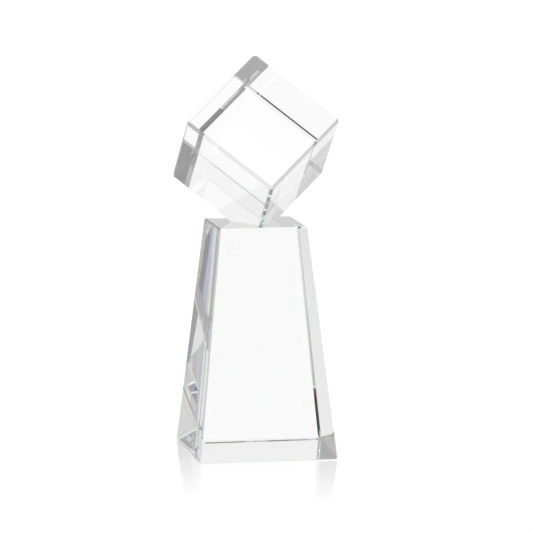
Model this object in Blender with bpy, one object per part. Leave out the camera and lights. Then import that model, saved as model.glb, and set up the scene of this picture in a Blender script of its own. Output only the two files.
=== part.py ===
"""Crystal cube award: a solid glass cube that stands on one ground corner, bonded on a tapered glass plinth.

Units are metres and +Z is up. The origin is the middle of the plinth's underside, and -Y is the front.
"""

import math

import bmesh
import bpy
from mathutils import Matrix, Vector

MM = 0.001

# Glass cube
CUBE_EDGE = 60.0 * MM  # length of every edge before grinding
CUBE_CHAMFER = 1.5 * MM  # width taken off each face along an edge
CUBE_CORNER_CUT = 19.7 * MM  # length ground off each of the three edges that meet at the foot corner

# Tapered plinth
PLINTH_FOOT_SIDE = 76.2 * MM  # side of the underside before its edges are chamfered
PLINTH_TOP_SIDE = 48.5 * MM  # side of the top face before its edges are chamfered
PLINTH_HEIGHT = 126.0 * MM
PLINTH_CHAMFER = 0.8 * MM  # width taken off each face along an edge

# Cured adhesive between cube and plinth
BOND_THICKNESS = 0.2 * MM
BOND_MARGIN = 0.4 * MM  # how far the film stays inside the outline of the cube's ground foot
SEAT_GAP = 0.05 * MM  # clearance above and below the film

# Glass colours, roughness and refractive index
CRYSTAL_COLOUR = (0.98, 0.99, 0.99, 1.0)
CRYSTAL_ROUGHNESS = 0.0
CRYSTAL_INDEX = 1.517
ADHESIVE_COLOUR = (0.97, 0.97, 0.95, 1.0)
ADHESIVE_ROUGHNESS = 0.05
ADHESIVE_INDEX = 1.51

# Standing a cube on its corner: turn a corner to the front, then tip it down under the centre
CORNER_TO_FRONT = math.radians(45.0)
CORNER_TIP = math.atan(math.sqrt(2.0))

# Heights that follow from the sizes above
CUBE_CENTRE_TO_FOOT = (CUBE_EDGE * 1.5 - CUBE_CORNER_CUT) / math.sqrt(3.0)
CUBE_FOOT_HEIGHT = PLINTH_HEIGHT + SEAT_GAP + BOND_THICKNESS + SEAT_GAP
CUBE_CENTRE_HEIGHT = CUBE_FOOT_HEIGHT + CUBE_CENTRE_TO_FOOT


def clear_scene():
    """Remove every object that is already in the scene."""
    for existing in list(bpy.data.objects):
        bpy.data.objects.remove(existing, do_unlink=True)


def clear_material(name, colour, roughness, index):
    """A see-through Principled material."""
    material = bpy.data.materials.new(name)
    material.use_nodes = True
    shader = material.node_tree.nodes["Principled BSDF"]
    shader.inputs["Base Color"].default_value = colour
    shader.inputs["Roughness"].default_value = roughness
    shader.inputs["Metallic"].default_value = 0.0
    shader.inputs["IOR"].default_value = index
    shader.inputs["Transmission Weight"].default_value = 1.0
    return material


def add_part(name, shape, material):
    """Turn a finished bmesh into a named object in the scene."""
    bmesh.ops.recalc_face_normals(shape, faces=shape.faces[:])
    mesh = bpy.data.meshes.new(name)
    shape.to_mesh(mesh)
    shape.free()
    mesh.materials.append(material)
    part = bpy.data.objects.new(name, mesh)
    bpy.context.collection.objects.link(part)
    return part


def chamfer_all_edges(shape, width):
    """Cut a flat chamfer along every edge, taking the same width off both faces."""
    bmesh.ops.bevel(
        shape,
        geom=shape.edges[:],
        offset=width,
        offset_type="OFFSET",
        segments=1,
        affect="EDGES",
    )


def foot_direction():
    """The direction from the cube's centre to its foot corner, in the cube's own frame."""
    return (Matrix.Rotation(CORNER_TO_FRONT, 3, "Z") @ Vector((-1.0, -1.0, -1.0))).normalized()


def chamfered_cube_with_foot():
    """A chamfered cube, one corner forward, with the foot corner ground to a flat face."""
    shape = bmesh.new()
    bmesh.ops.create_cube(shape, size=CUBE_EDGE, matrix=Matrix.Rotation(CORNER_TO_FRONT, 4, "Z"))
    chamfer_all_edges(shape, CUBE_CHAMFER)
    cut = bmesh.ops.bisect_plane(
        shape,
        geom=shape.verts[:] + shape.edges[:] + shape.faces[:],
        plane_co=foot_direction() * CUBE_CENTRE_TO_FOOT,
        plane_no=foot_direction(),
        clear_outer=True,
    )
    outline = [piece for piece in cut["geom_cut"] if isinstance(piece, bmesh.types.BMEdge)]
    bmesh.ops.contextual_create(shape, geom=outline)
    return shape


def make_crystal_cube(material):
    """The cube, tipped onto its ground foot above the plinth."""
    cube = add_part("crystal_cube", chamfered_cube_with_foot(), material)
    cube.location = (0.0, 0.0, CUBE_CENTRE_HEIGHT)
    cube.rotation_euler = (CORNER_TIP, 0.0, 0.0)
    return cube


def make_bond_film(cube, material):
    """The adhesive film: the ground foot's outline, drawn in a little and given its thickness."""
    shape = chamfered_cube_with_foot()
    shape.faces.ensure_lookup_table()
    foot = max(shape.faces, key=lambda face: face.normal.dot(foot_direction()))
    bmesh.ops.inset_region(shape, faces=[foot], thickness=BOND_MARGIN, use_even_offset=True)
    others = [face for face in shape.faces if face is not foot]
    bmesh.ops.delete(shape, geom=others, context="FACES")
    bmesh.ops.translate(shape, verts=shape.verts[:], vec=foot_direction() * SEAT_GAP)
    grown = bmesh.ops.extrude_face_region(shape, geom=[foot], use_keep_orig=True)
    lower = [piece for piece in grown["geom"] if isinstance(piece, bmesh.types.BMVert)]
    bmesh.ops.translate(shape, verts=lower, vec=foot_direction() * BOND_THICKNESS)
    film = add_part("bond_film", shape, material)
    film.parent = cube
    return film


def make_tapered_plinth(material):
    """The square frustum that carries the cube, chamfered along every edge."""
    shape = bmesh.new()
    bmesh.ops.create_cone(
        shape,
        cap_ends=True,
        segments=4,
        radius1=PLINTH_FOOT_SIDE / math.sqrt(2.0),
        radius2=PLINTH_TOP_SIDE / math.sqrt(2.0),
        depth=PLINTH_HEIGHT,
        matrix=Matrix.Rotation(CORNER_TO_FRONT, 4, "Z"),
    )
    chamfer_all_edges(shape, PLINTH_CHAMFER)
    plinth = add_part("tapered_plinth", shape, material)
    plinth.location = (0.0, 0.0, PLINTH_HEIGHT / 2.0)
    return plinth


def build():
    """Make the award."""
    clear_scene()
    cube_glass = clear_material("cube_crystal", CRYSTAL_COLOUR, CRYSTAL_ROUGHNESS, CRYSTAL_INDEX)
    plinth_glass = clear_material("plinth_crystal", CRYSTAL_COLOUR, CRYSTAL_ROUGHNESS, CRYSTAL_INDEX)
    adhesive = clear_material("clear_adhesive", ADHESIVE_COLOUR, ADHESIVE_ROUGHNESS, ADHESIVE_INDEX)
    make_tapered_plinth(plinth_glass)
    cube = make_crystal_cube(cube_glass)
    make_bond_film(cube, adhesive)


build()
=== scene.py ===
"""Looks of the crystal cube award: polished glass, cured bond, pale table and a soft studio.

Units are metres and +Z is up. The origin is the middle of the plinth's underside, and -Y is the front.
"""

import math

import bpy
from mathutils import Matrix, Vector


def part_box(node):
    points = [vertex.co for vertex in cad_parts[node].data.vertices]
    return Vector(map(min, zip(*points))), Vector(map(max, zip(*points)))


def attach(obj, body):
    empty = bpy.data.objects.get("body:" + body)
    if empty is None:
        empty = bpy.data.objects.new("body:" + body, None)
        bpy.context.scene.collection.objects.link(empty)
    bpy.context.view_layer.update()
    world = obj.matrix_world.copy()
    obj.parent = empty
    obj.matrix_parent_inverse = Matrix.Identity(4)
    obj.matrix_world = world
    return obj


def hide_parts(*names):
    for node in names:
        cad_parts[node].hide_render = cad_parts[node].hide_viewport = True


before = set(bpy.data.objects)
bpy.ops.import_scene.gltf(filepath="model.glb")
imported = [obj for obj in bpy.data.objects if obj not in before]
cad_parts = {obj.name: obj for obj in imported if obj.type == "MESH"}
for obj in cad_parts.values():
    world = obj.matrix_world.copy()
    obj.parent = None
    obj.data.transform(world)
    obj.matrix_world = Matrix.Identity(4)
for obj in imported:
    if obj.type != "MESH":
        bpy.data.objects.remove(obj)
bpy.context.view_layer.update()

MM = 0.001
UPWARDS = Vector((0.0, 0.0, 1.0))

# Sizes of the glass blocks, as they are ground
CUBE_EDGE = 60.0 * MM
CUBE_CHAMFER = 1.5 * MM
PLINTH_FOOT_SIDE = 76.2 * MM
PLINTH_TOP_SIDE = 48.5 * MM
PLINTH_CHAMFER = 0.8 * MM
ARRIS_ROUNDING = 0.06 * MM  # the polishing wheel takes the keenness off every chamfer's borders
ARRIS_STEPS = 2

# Heights that the frame gives
PLINTH_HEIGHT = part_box("tapered_plinth")[1].z
CUBE_FOOT_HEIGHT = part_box("crystal_cube")[0].z

# The cube stands on a corner: that corner is first turned to the front, then tipped down under the centre
CORNER_TO_FRONT = math.radians(45.0)
CORNER_TIP = math.atan(math.sqrt(2.0))
CUBE_TIP_HEIGHT = (CUBE_EDGE * 1.5 - CUBE_CHAMFER * 2.0) / math.sqrt(3.0)  # centre to chamfered corner
CUBE_CENTRE_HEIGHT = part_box("crystal_cube")[1].z - CUBE_TIP_HEIGHT

# The plinth starts as a four-sided cone with a corner to the front
SIDE_TO_FRONT = math.radians(45.0)

# Faces are told apart by how far their normals point up, by their size and by their place
LEVEL_FACE = 0.99
STEEP_FACE = 0.5
LOWER_CHAMFER_RANGE = (-0.9, -0.75)
BROAD_SIDE_AREA = PLINTH_TOP_SIDE * PLINTH_HEIGHT / 2.0  # a broad side of the plinth has more than this
SEAT_REACH = 2.0 * MM  # the seat's middle is nearer than this to the plinth's axis

# Places of the materials on a piece: its general finish, then those of chosen faces
POLISH_PLACE = 0
CONTACT_PLACE = 1
FIRE_PLACE = 2

# The cured adhesive fills the joint under the cube's foot, up to a hair from both glass faces
BOND_HAIR = 0.01 * MM
BOND_INDEX = 1.51
BOND_TINT = (0.99, 0.99, 0.975, 1.0)
BOND_HAZE = 0.03
CONTACT_INDEX = 1.0  # adhesive on glass, with no air between, hardly bends the light

# Optical glass
GLASS_INDEX = 1.517
GLASS_TINT = (0.99, 0.997, 0.994, 1.0)
VEIN_SIZE = 25.0 * MM
VEIN_STRETCH = 3.0
VEIN_DETAIL = 3.0
VEIN_RANGE = (0.45, 0.7)  # of the cloudy grain, from clear to the full tint
GLASS_HAZE = 0.012
HAZE_SIZE = 9.0 * MM
HAZE_DETAIL = 4.0
HAZE_RANGE = (0.5, 0.8)  # of the cloudy grain, from a perfect polish to the most haze
WAVE_SIZE = 30.0 * MM
WAVE_DETAIL = 0.0
WAVE_HEIGHT = 0.0003 * MM

# Fire of the glass: a third of the split light each, as colour and refractive index
FIRE = (
    ((3.0, 0.0, 0.0, 1.0), 1.511),
    ((0.0, 3.0, 0.0, 1.0), 1.517),
    ((0.0, 0.0, 3.0, 1.0), 1.525),
)

# Share of the light that splits where the camera looks into the glass
SIDE_FIRE = 0.5
CHAMFER_FIRE = 0.35

# Camera, as the photograph was taken
CAMERA_AZIMUTH = math.radians(-10.64)
CAMERA_ELEVATION = math.radians(7.74)
CAMERA_ROLL = math.radians(-0.1)
CAMERA_DISTANCE = 2.446
CAMERA_LENS = 302.05  # millimetres, as is the sensor's width
CAMERA_SENSOR = 36.0
CAMERA_REACH = 100.0
CAMERA_AIM_SIDEWAYS = 5.93 * MM
CAMERA_AIM_HEIGHT = 101.6 * MM

# How many times light may turn on its way through the glass
LIGHT_BOUNCES = 64

# Studio brightness, where 1.0 is white
ROOM_DIM = 0.23
ROOM_FLOOR = 0.1
ROOM_HORIZON = (-1.0, -4.0)  # degrees of elevation, from the walls to the floor
SEEN_WHITE = 1.08  # backdrop and table where the camera looks straight at them

# Cards round the award: name, azimuth, elevation, half width, half height, soft border, brightness.
# Angles are in degrees, azimuth 0 is the front and 90 the right, and a later card lies over an earlier one.
STUDIO_CARDS = (
    ("white backdrop", 160.0, 20.0, 20.0, 28.0, 5.0, 0.92),
    ("upper left backdrop", -153.0, 29.0, 27.0, 21.0, 6.0, 0.89),
    ("gap between backdrops", -172.0, 17.0, 7.0, 9.0, 5.0, 0.83),
    ("grey card left behind", -165.0, 0.0, 15.0, 15.0, 14.0, 0.43),
    ("black flag right", 82.0, 17.0, 28.0, 14.0, 5.0, 0.06),
    ("low right card", 120.0, 4.0, 17.0, 10.0, 5.0, 0.5),
    ("black flag behind right", 127.0, 20.0, 12.0, 9.0, 4.0, 0.02),
    ("grey card behind right", 142.0, 17.0, 5.0, 5.0, 4.0, 0.5),
    ("black flag left", -91.0, 56.0, 22.0, 10.0, 6.0, 0.06),
    ("black flag upper right", 104.0, 64.0, 14.0, 6.0, 5.0, 0.04),
    ("right side card", 78.0, 43.0, 28.0, 9.0, 5.0, 0.8),
    ("overhead softbox", 30.0, 70.0, 32.0, 16.0, 6.0, 0.95),
    ("softbox lamp", 53.0, 68.0, 25.0, 6.0, 5.0, 1.7),
    ("front fill", -26.0, 30.0, 29.0, 17.0, 6.0, 0.48),
    ("front window", 11.0, 20.0, 9.0, 9.0, 9.0, 0.75),
    ("upper front card", 21.0, 37.0, 6.0, 9.0, 4.0, 0.5),
    ("low front card", -8.0, 8.0, 14.0, 9.0, 5.0, 0.5),
    ("low front right card", 42.0, 7.0, 14.0, 8.0, 5.0, 0.7),
    ("right front card", 55.0, 24.0, 8.0, 6.0, 4.0, 0.6),
    ("front left card", -58.0, 12.0, 10.0, 8.0, 5.0, 0.6),
    ("left side card", -97.0, 18.0, 27.0, 20.0, 6.0, 0.7),
    ("black strip left", -79.0, 30.0, 6.0, 4.0, 3.0, 0.02),
)

# Polished table top, as it lights the glass
TABLE_PALE = 0.18
TABLE_GLOSS = 0.9
TABLE_ROUGHNESS = 0.1
TABLE_SHADED_UNDER_PLINTH = 0.35  # painted shade under the plinth, where the table has no gloss
TABLE_GAP = 0.05 * MM  # air under the plinth
TABLE_WIDTH = 3.4
TABLE_FRONT = 0.6
TABLE_BACK = 3.5

# The same table, as the camera sees it: a faint reflection over a painted shade round the plinth's foot,
# both fading into white
SEEN_SHADED_GLOW = 0.53
SEEN_GLOSS = 0.5
FADE_LENGTH = 165.0 * MM


def deselect_everything():
    """Leave nothing selected that the next operator could act on."""
    for other in bpy.context.selected_objects:
        other.select_set(False)


def start_mesh(name):
    """Name the primitive that was just added and open it for editing, with everything selected."""
    piece = bpy.context.active_object
    piece.name = name
    piece.data.name = name
    bpy.ops.object.mode_set(mode="EDIT")
    bpy.ops.mesh.select_mode(type="FACE")
    bpy.ops.mesh.select_all(action="SELECT")
    return piece


def apply_place():
    """Move the place, turn and scale of the piece at hand into its mesh."""
    bpy.ops.object.transform_apply(location=True, rotation=True, scale=True)


def settle():
    """Leave edit mode and move the place of the piece at hand into its mesh."""
    bpy.ops.object.mode_set(mode="OBJECT")
    apply_place()


def choose_faces(piece, wanted):
    """Select, in edit mode, the faces that the test wants."""
    bpy.ops.mesh.select_all(action="DESELECT")
    bpy.ops.object.mode_set(mode="OBJECT")
    for face in piece.data.polygons:
        face.select = wanted(face)
    bpy.ops.object.mode_set(mode="EDIT")
    bpy.ops.mesh.select_mode(type="FACE")


def paint_faces(piece, wanted, place):
    """Give the wanted faces the material in one of the piece's places."""
    bpy.ops.object.mode_set(mode="EDIT")
    choose_faces(piece, wanted)
    piece.active_material_index = place
    bpy.ops.object.material_slot_assign()
    bpy.ops.object.mode_set(mode="OBJECT")


def is_foot(face):
    """The underside of a piece."""
    return face.normal.z < -LEVEL_FACE


def is_lower_chamfer(face):
    """One of the three chamfers that run down to the cube's foot."""
    lowest, highest = LOWER_CHAMFER_RANGE
    return lowest < face.normal.z < highest


def is_side(face):
    """One of the plinth's four broad sides."""
    return abs(face.normal.z) < STEEP_FACE and face.area > BROAD_SIDE_AREA


def is_seat(face):
    """The middle of the plinth's top: all of it at first, and the cube's seat once that is scribed."""
    return face.normal.z > LEVEL_FACE and face.center.xy.length < SEAT_REACH


def is_bonded(face):
    """The bond's upper and under sides, against the glass."""
    return abs(face.normal.z) > LEVEL_FACE


def take_off_keenness(piece, keen_foot):
    """Round every edge by a hair, or all but those of the foot, and keep the large faces optically flat."""
    bpy.ops.object.shade_smooth()
    bpy.ops.object.mode_set(mode="EDIT")
    bpy.ops.mesh.select_all(action="SELECT")
    bpy.ops.transform.edge_bevelweight(value=1.0)
    if keen_foot:
        choose_faces(piece, is_foot)
        bpy.ops.transform.edge_bevelweight(value=-1.0)
        bpy.ops.mesh.mark_sharp()
    bpy.ops.object.mode_set(mode="OBJECT")
    rounding = piece.modifiers.new("rounding", "BEVEL")
    rounding.width = ARRIS_ROUNDING
    rounding.segments = ARRIS_STEPS
    rounding.limit_method = "WEIGHT"
    rounding.harden_normals = True
    rounding.material = POLISH_PLACE
    bpy.ops.object.modifier_apply(modifier=rounding.name)


def corner_standing_cube(name):
    """A chamfered cube at its place in the award: one corner turned to the front, then tipped down."""
    deselect_everything()
    bpy.ops.mesh.primitive_cube_add(size=CUBE_EDGE)
    cube = start_mesh(name)
    bpy.ops.mesh.bevel(offset=CUBE_CHAMFER, offset_type="OFFSET", segments=1, affect="EDGES")
    settle()
    cube.rotation_euler = (0.0, 0.0, CORNER_TO_FRONT)
    apply_place()
    cube.rotation_euler = (CORNER_TIP, 0.0, 0.0)
    cube.location = (0.0, 0.0, CUBE_CENTRE_HEIGHT)
    apply_place()
    return cube


def saw_level(height, keep_upper):
    """Saw the piece at hand level at a height, keep one side and close the cut."""
    bpy.ops.object.mode_set(mode="EDIT")
    bpy.ops.mesh.select_all(action="SELECT")
    bpy.ops.mesh.bisect(
        plane_co=(0.0, 0.0, height),
        plane_no=UPWARDS,
        clear_inner=keep_upper,
        clear_outer=not keep_upper,
        use_fill=True,
    )
    bpy.ops.mesh.select_all(action="SELECT")
    bpy.ops.mesh.normals_make_consistent(inside=False)
    bpy.ops.object.mode_set(mode="OBJECT")


def glass_cube():
    """The cube, with the corner that it stands on ground flat."""
    cube = corner_standing_cube("polished_cube")
    saw_level(CUBE_FOOT_HEIGHT, keep_upper=True)
    take_off_keenness(cube, keen_foot=True)
    return cube


def cured_bond():
    """The cured adhesive: it carries the cube's faces on, down to the plinth."""
    film = corner_standing_cube("cured_bond")
    saw_level(PLINTH_HEIGHT + BOND_HAIR, keep_upper=True)
    saw_level(CUBE_FOOT_HEIGHT - BOND_HAIR, keep_upper=False)
    return film


def foot_outline(piece):
    """The corners of a piece's underside, in order round it."""
    foot = next(face for face in piece.data.polygons if is_foot(face))
    return [piece.data.vertices[corner].co.copy() for corner in foot.vertices]


def tapered_plinth(outline):
    """The plinth: a four-sided cone with its point cut off, chamfered, with the seat scribed on its top."""
    deselect_everything()
    bpy.ops.mesh.primitive_cone_add(
        vertices=4,
        radius1=PLINTH_FOOT_SIDE / math.sqrt(2.0),
        radius2=PLINTH_TOP_SIDE / math.sqrt(2.0),
        depth=PLINTH_HEIGHT,
        location=(0.0, 0.0, PLINTH_HEIGHT / 2.0),
        rotation=(0.0, 0.0, SIDE_TO_FRONT),
    )
    plinth = start_mesh("polished_plinth")
    bpy.ops.mesh.bevel(offset=PLINTH_CHAMFER, offset_type="OFFSET", segments=1, affect="EDGES")
    settle()
    take_off_keenness(plinth, keen_foot=False)
    bpy.ops.object.mode_set(mode="EDIT")
    for corner, following in zip(outline, outline[1:] + outline[:1]):
        edge = following - corner
        choose_faces(plinth, is_seat)
        bpy.ops.mesh.bisect(plane_co=corner, plane_no=edge.cross(UPWARDS))
    settle()
    return plinth


def start_material(name):
    """A new material, with its tree and its Principled shader."""
    material = bpy.data.materials.new(name)
    material.use_nodes = True
    tree = material.node_tree
    return material, tree, tree.nodes["Principled BSDF"]


def grey(brightness):
    """A neutral colour."""
    return (brightness, brightness, brightness, 1.0)


def arithmetic(tree, operation, first, second=None):
    """One step of arithmetic; either value may be a plain number."""
    node = tree.nodes.new("ShaderNodeMath")
    node.operation = operation
    for socket, value in zip(node.inputs, (first, second)):
        if isinstance(value, float):
            socket.default_value = value
        elif value is not None:
            tree.links.new(value, socket)
    return node.outputs["Value"]


def along(tree, place, axis):
    """How far a direction points along an axis."""
    dot = tree.nodes.new("ShaderNodeVectorMath")
    dot.operation = "DOT_PRODUCT"
    dot.inputs[1].default_value = axis
    tree.links.new(place, dot.inputs[0])
    return dot.outputs["Value"]


def soft_step(tree, value, start, end):
    """A number that goes smoothly from 0 at start to 1 at end."""
    step = tree.nodes.new("ShaderNodeMapRange")
    step.interpolation_type = "SMOOTHSTEP"
    step.inputs["From Min"].default_value = start
    step.inputs["From Max"].default_value = end
    tree.links.new(value, step.inputs["Value"])
    return step.outputs["Result"]


def within(tree, value, half, border):
    """1 while an angle is nearer to zero than half, going softly to 0 across a border; both in degrees."""
    size = arithmetic(tree, "ABSOLUTE", value)
    return soft_step(tree, size, math.radians(half + border / 2.0), math.radians(half - border / 2.0))


def laid_over(tree, below, amount, colour):
    """A colour laid over another one by the amount."""
    mix = tree.nodes.new("ShaderNodeMix")
    mix.data_type = "RGBA"
    tree.links.new(amount, mix.inputs["Factor"])
    tree.links.new(below, mix.inputs["A"])
    mix.inputs["B"].default_value = colour
    return mix.outputs["Result"]


def one_or_other(tree, amount, first, second):
    """The first shader where the amount is 0, and the second where it is 1."""
    mix = tree.nodes.new("ShaderNodeMixShader")
    if isinstance(amount, float):
        mix.inputs["Fac"].default_value = amount
    else:
        tree.links.new(amount, mix.inputs["Fac"])
    tree.links.new(first, mix.inputs[1])
    tree.links.new(second, mix.inputs[2])
    return mix.outputs["Shader"]


def grain(tree, size, detail, stretch=1.0):
    """Soft cloudy variation of a size in metres, stretched upwards."""
    place = tree.nodes.new("ShaderNodeTexCoord")
    mapping = tree.nodes.new("ShaderNodeMapping")
    mapping.inputs["Scale"].default_value = (1.0, 1.0, 1.0 / stretch)
    clouds = tree.nodes.new("ShaderNodeTexNoise")
    clouds.inputs["Scale"].default_value = 1.0 / size
    clouds.inputs["Detail"].default_value = detail
    tree.links.new(place.outputs["Object"], mapping.inputs["Vector"])
    tree.links.new(mapping.outputs["Vector"], clouds.inputs["Vector"])
    return clouds.outputs["Fac"]


def veins(tree, tint):
    """Clear, with faint veins of a tint, as melted glass keeps them."""
    ramp = tree.nodes.new("ShaderNodeValToRGB")
    clear, tinted = ramp.color_ramp.elements
    clear.position, tinted.position = VEIN_RANGE
    clear.color = grey(1.0)
    tinted.color = tint
    tree.links.new(grain(tree, VEIN_SIZE, VEIN_DETAIL, VEIN_STRETCH), ramp.inputs["Fac"])
    return ramp.outputs["Color"]


def haze(tree, roughest):
    """Mostly a perfect polish, with a trace of haze in places."""
    start, end = HAZE_RANGE
    patches = tree.nodes.new("ShaderNodeMapRange")
    patches.inputs["From Min"].default_value = start
    patches.inputs["From Max"].default_value = end
    patches.inputs["To Max"].default_value = roughest
    tree.links.new(grain(tree, HAZE_SIZE, HAZE_DETAIL), patches.inputs["Value"])
    return patches.outputs["Result"]


def polishing_wave(tree):
    """The very gentle wave that the polishing wheel leaves."""
    bump = tree.nodes.new("ShaderNodeBump")
    bump.inputs["Strength"].default_value = 1.0
    bump.inputs["Distance"].default_value = WAVE_HEIGHT
    tree.links.new(grain(tree, WAVE_SIZE, WAVE_DETAIL), bump.inputs["Height"])
    return bump.outputs["Normal"]


def polished_glass(name):
    """Clear optical glass with a bright polish."""
    material, tree, shader = start_material(name)
    shader.inputs["IOR"].default_value = GLASS_INDEX
    shader.inputs["Transmission Weight"].default_value = 1.0
    tree.links.new(veins(tree, GLASS_TINT), shader.inputs["Base Color"])
    tree.links.new(haze(tree, GLASS_HAZE), shader.inputs["Roughness"])
    tree.links.new(polishing_wave(tree), shader.inputs["Normal"])
    return material


def fiery_glass(name, share):
    """The same glass with fire: a share of the light splits where the camera looks in, blue bending most."""
    material = polished_glass(name)
    tree = material.node_tree
    plain = tree.nodes["Principled BSDF"]
    colours = []
    for hue, index in FIRE:
        glass = tree.nodes.new("ShaderNodeBsdfGlass")
        glass.inputs["Color"].default_value = hue
        glass.inputs["IOR"].default_value = index
        tree.links.new(plain.inputs["Roughness"].links[0].from_socket, glass.inputs["Roughness"])
        tree.links.new(plain.inputs["Normal"].links[0].from_socket, glass.inputs["Normal"])
        colours.append(glass.outputs["BSDF"])
    red, green, blue = colours
    red_and_green = one_or_other(tree, 1.0 / 2.0, red, green)
    fire = one_or_other(tree, 1.0 / 3.0, red_and_green, blue)
    path = tree.nodes.new("ShaderNodeLightPath")
    looked_into = arithmetic(tree, "MULTIPLY", path.outputs["Is Camera Ray"], share)
    surface = one_or_other(tree, looked_into, plain.outputs["BSDF"], fire)
    tree.links.new(surface, tree.nodes["Material Output"].inputs["Surface"])
    return material


def clear_adhesive():
    """Cured clear adhesive, where it shows round the joint."""
    material, tree, shader = start_material("adhesive_rim")
    shader.inputs["IOR"].default_value = BOND_INDEX
    shader.inputs["Transmission Weight"].default_value = 1.0
    tree.links.new(veins(tree, BOND_TINT), shader.inputs["Base Color"])
    tree.links.new(haze(tree, BOND_HAZE), shader.inputs["Roughness"])
    return material


def bonded_contact():
    """Glass wetted by adhesive: with no air there, light passes straight through."""
    material, tree, shader = start_material("bonded_contact")
    shader.inputs["Roughness"].default_value = 0.0
    shader.inputs["IOR"].default_value = CONTACT_INDEX
    shader.inputs["Transmission Weight"].default_value = 1.0
    tree.links.new(veins(tree, BOND_TINT), shader.inputs["Base Color"])
    return material


def level_direction(azimuth):
    """A level direction in the studio: azimuth 0 is the front and 90 the right, in degrees."""
    turn = math.radians(azimuth)
    return (math.sin(turn), -math.cos(turn), 0.0)


def dim_room(tree, rise):
    """The room behind the cards: dim walls over a darker floor."""
    walls = tree.nodes.new("ShaderNodeRGB")
    walls.name = "room"
    walls.outputs["Color"].default_value = grey(ROOM_DIM)
    start, end = ROOM_HORIZON
    below = soft_step(tree, rise, math.radians(start), math.radians(end))
    room = laid_over(tree, walls.outputs["Color"], below, grey(ROOM_FLOOR))
    room.node.name = "room floor"
    return room


def studio_light():
    """A dim room with white, grey and black cards, whose edges and gaps draw the lines in the glass."""
    world = bpy.data.worlds.new("studio")
    bpy.context.scene.world = world
    world.use_nodes = True
    tree = world.node_tree
    place = tree.nodes.new("ShaderNodeTexCoord").outputs["Generated"]
    rise = arithmetic(tree, "ARCSINE", along(tree, place, UPWARDS))
    light = dim_room(tree, rise)
    for name, azimuth, elevation, half_width, half_height, border, brightness in STUDIO_CARDS:
        ahead = along(tree, place, level_direction(azimuth))
        aside = along(tree, place, level_direction(azimuth + 90.0))
        turn = arithmetic(tree, "ARCTAN2", aside, ahead)
        climb = arithmetic(tree, "SUBTRACT", rise, math.radians(elevation))
        across = within(tree, turn, half_width, border)
        upright = within(tree, climb, half_height, border)
        card = arithmetic(tree, "MULTIPLY", across, upright)
        light = laid_over(tree, light, card, grey(brightness))
        light.node.name = name
    path = tree.nodes.new("ShaderNodeLightPath")
    seen = laid_over(tree, light, path.outputs["Is Camera Ray"], grey(SEEN_WHITE))
    seen.node.name = "backdrop seen"
    tree.links.new(seen, tree.nodes["Background"].inputs["Color"])


def table_layer(tree, own_light, reflection):
    """A glow with a soft reflection over it."""
    glow = tree.nodes.new("ShaderNodeEmission")
    glow.inputs["Color"].default_value = grey(own_light)
    gloss = tree.nodes.new("ShaderNodeBsdfGlossy")
    gloss.inputs["Color"].default_value = grey(reflection)
    gloss.inputs["Roughness"].default_value = TABLE_ROUGHNESS
    both = tree.nodes.new("ShaderNodeAddShader")
    tree.links.new(glow.outputs["Emission"], both.inputs[0])
    tree.links.new(gloss.outputs["BSDF"], both.inputs[1])
    return both.outputs["Shader"]


def under_plinth(tree, place):
    """Where the table's painted shade lies: 1 under the plinth and 0 round it."""
    axes = tree.nodes.new("ShaderNodeSeparateXYZ")
    tree.links.new(place, axes.inputs["Vector"])
    aside = arithmetic(tree, "ABSOLUTE", axes.outputs["X"])
    ahead = arithmetic(tree, "ABSOLUTE", axes.outputs["Y"])
    from_middle = arithmetic(tree, "MAXIMUM", aside, ahead)
    border = PLINTH_FOOT_SIDE / 2.0
    return soft_step(tree, from_middle, border, border - PLINTH_CHAMFER)


def away_from_plinth(tree, place):
    """0 at the plinth's foot, rising evenly to 1 where the table's painted shade and reflection have faded
    into white.
    """
    distance = tree.nodes.new("ShaderNodeVectorMath")
    distance.operation = "LENGTH"
    tree.links.new(place, distance.inputs[0])
    fade = tree.nodes.new("ShaderNodeMapRange")
    fade.inputs["From Min"].default_value = PLINTH_FOOT_SIDE / 2.0
    fade.inputs["From Max"].default_value = PLINTH_FOOT_SIDE / 2.0 + FADE_LENGTH
    tree.links.new(distance.outputs["Value"], fade.inputs["Value"])
    return fade.outputs["Result"]


def table_finish():
    """Pale polished table top, matt and painted in shade under the plinth; for the camera, a reflection over
    a painted shade round the foot, which fades into white.
    """
    material, tree, shader = start_material("pale_table")
    tree.nodes.remove(shader)
    place = tree.nodes.new("ShaderNodeTexCoord").outputs["Object"]
    polished = table_layer(tree, TABLE_PALE, TABLE_GLOSS)
    # painted shade under the plinth: a glow of its own, with no gloss
    shaded_under_plinth = table_layer(tree, TABLE_SHADED_UNDER_PLINTH, 0.0)
    lighting = one_or_other(tree, under_plinth(tree, place), polished, shaded_under_plinth)
    # painted shade round the plinth's foot: a dimmed glow, with a real reflection over it
    shaded_near_foot = table_layer(tree, SEEN_SHADED_GLOW, SEEN_GLOSS)
    white = table_layer(tree, SEEN_WHITE, 0.0)
    seen = one_or_other(tree, away_from_plinth(tree, place), shaded_near_foot, white)
    path = tree.nodes.new("ShaderNodeLightPath")
    surface = one_or_other(tree, path.outputs["Is Camera Ray"], lighting, seen)
    tree.links.new(surface, tree.nodes["Material Output"].inputs["Surface"])
    return material


def table_top():
    """The table that the award stands on."""
    deselect_everything()
    bpy.ops.mesh.primitive_plane_add(size=1.0, location=(0.0, (TABLE_BACK - TABLE_FRONT) / 2.0, -TABLE_GAP))
    table = start_mesh("table_top")
    table.scale = (TABLE_WIDTH, TABLE_BACK + TABLE_FRONT, 1.0)
    settle()
    table.data.materials.append(table_finish())


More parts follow.
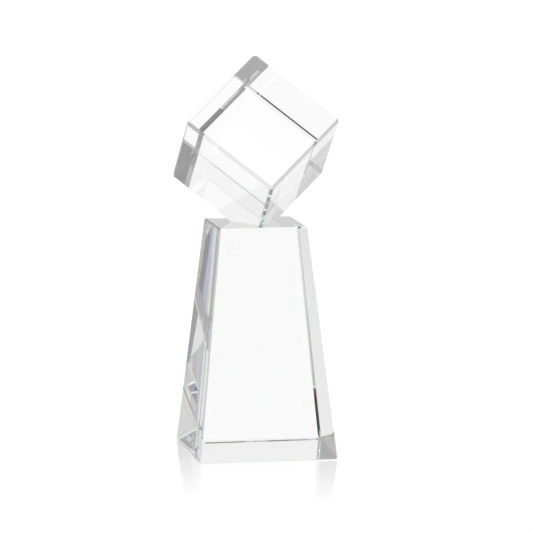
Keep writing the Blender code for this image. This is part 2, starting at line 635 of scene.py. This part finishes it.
def photo_camera():
    """A long lens from a little left of the front and a little above."""
    level_right = Vector((math.cos(CAMERA_AZIMUTH), math.sin(CAMERA_AZIMUTH), 0.0))
    backwards = Vector((
        math.sin(CAMERA_AZIMUTH) * math.cos(CAMERA_ELEVATION),
        -math.cos(CAMERA_AZIMUTH) * math.cos(CAMERA_ELEVATION),
        math.sin(CAMERA_ELEVATION),
    ))
    upright = backwards.cross(level_right)
    turned = Matrix((level_right, upright, backwards)).transposed() @ Matrix.Rotation(CAMERA_ROLL, 3, "Z")
    aim = level_right * CAMERA_AIM_SIDEWAYS + UPWARDS * CAMERA_AIM_HEIGHT
    bpy.ops.object.camera_add()
    camera = bpy.context.active_object
    camera.matrix_world = Matrix.Translation(aim + backwards * CAMERA_DISTANCE) @ turned.to_4x4()
    camera.data.lens = CAMERA_LENS
    camera.data.sensor_width = CAMERA_SENSOR
    camera.data.clip_end = CAMERA_REACH
    bpy.context.scene.camera = camera


def photo_exposure():
    """Plain colours, and light that is followed all the way through the glass."""
    scene = bpy.context.scene
    scene.view_settings.view_transform = "Standard"
    scene.cycles.max_bounces = LIGHT_BOUNCES
    scene.cycles.glossy_bounces = LIGHT_BOUNCES
    scene.cycles.transmission_bounces = LIGHT_BOUNCES
    scene.cycles.transparent_max_bounces = LIGHT_BOUNCES
    scene.cycles.blur_glossy = 0.0
    scene.cycles.sample_clamp_indirect = 0.0
    scene.cycles.use_denoising = True
    scene.cycles.denoising_input_passes = "RGB"


def dress(piece, node, slot, *materials):
    """Give a finished piece its materials and its place in the frame."""
    for material in materials:
        piece.data.materials.append(material)
    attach(piece, "root")
    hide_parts(node)


def award():
    """The three pieces of the award, dressed and placed in the frame."""
    contact = bonded_contact()
    cube = glass_cube()
    cube_glass = (polished_glass("cube_polish"), contact, fiery_glass("cube_lower_chamfers", CHAMFER_FIRE))
    dress(cube, "crystal_cube", "cube_crystal", *cube_glass)
    paint_faces(cube, is_foot, CONTACT_PLACE)
    paint_faces(cube, is_lower_chamfer, FIRE_PLACE)
    bond = cured_bond()
    dress(bond, "bond_film", "clear_adhesive", clear_adhesive(), contact)
    paint_faces(bond, is_bonded, CONTACT_PLACE)
    plinth = tapered_plinth(foot_outline(bond))
    plinth_glass = (polished_glass("plinth_polish"), contact, fiery_glass("plinth_sides", SIDE_FIRE))
    dress(plinth, "tapered_plinth", "plinth_crystal", *plinth_glass)
    paint_faces(plinth, is_seat, CONTACT_PLACE)
    paint_faces(plinth, is_side, FIRE_PLACE)


photo_camera()
photo_exposure()
award()
table_top()
studio_light()
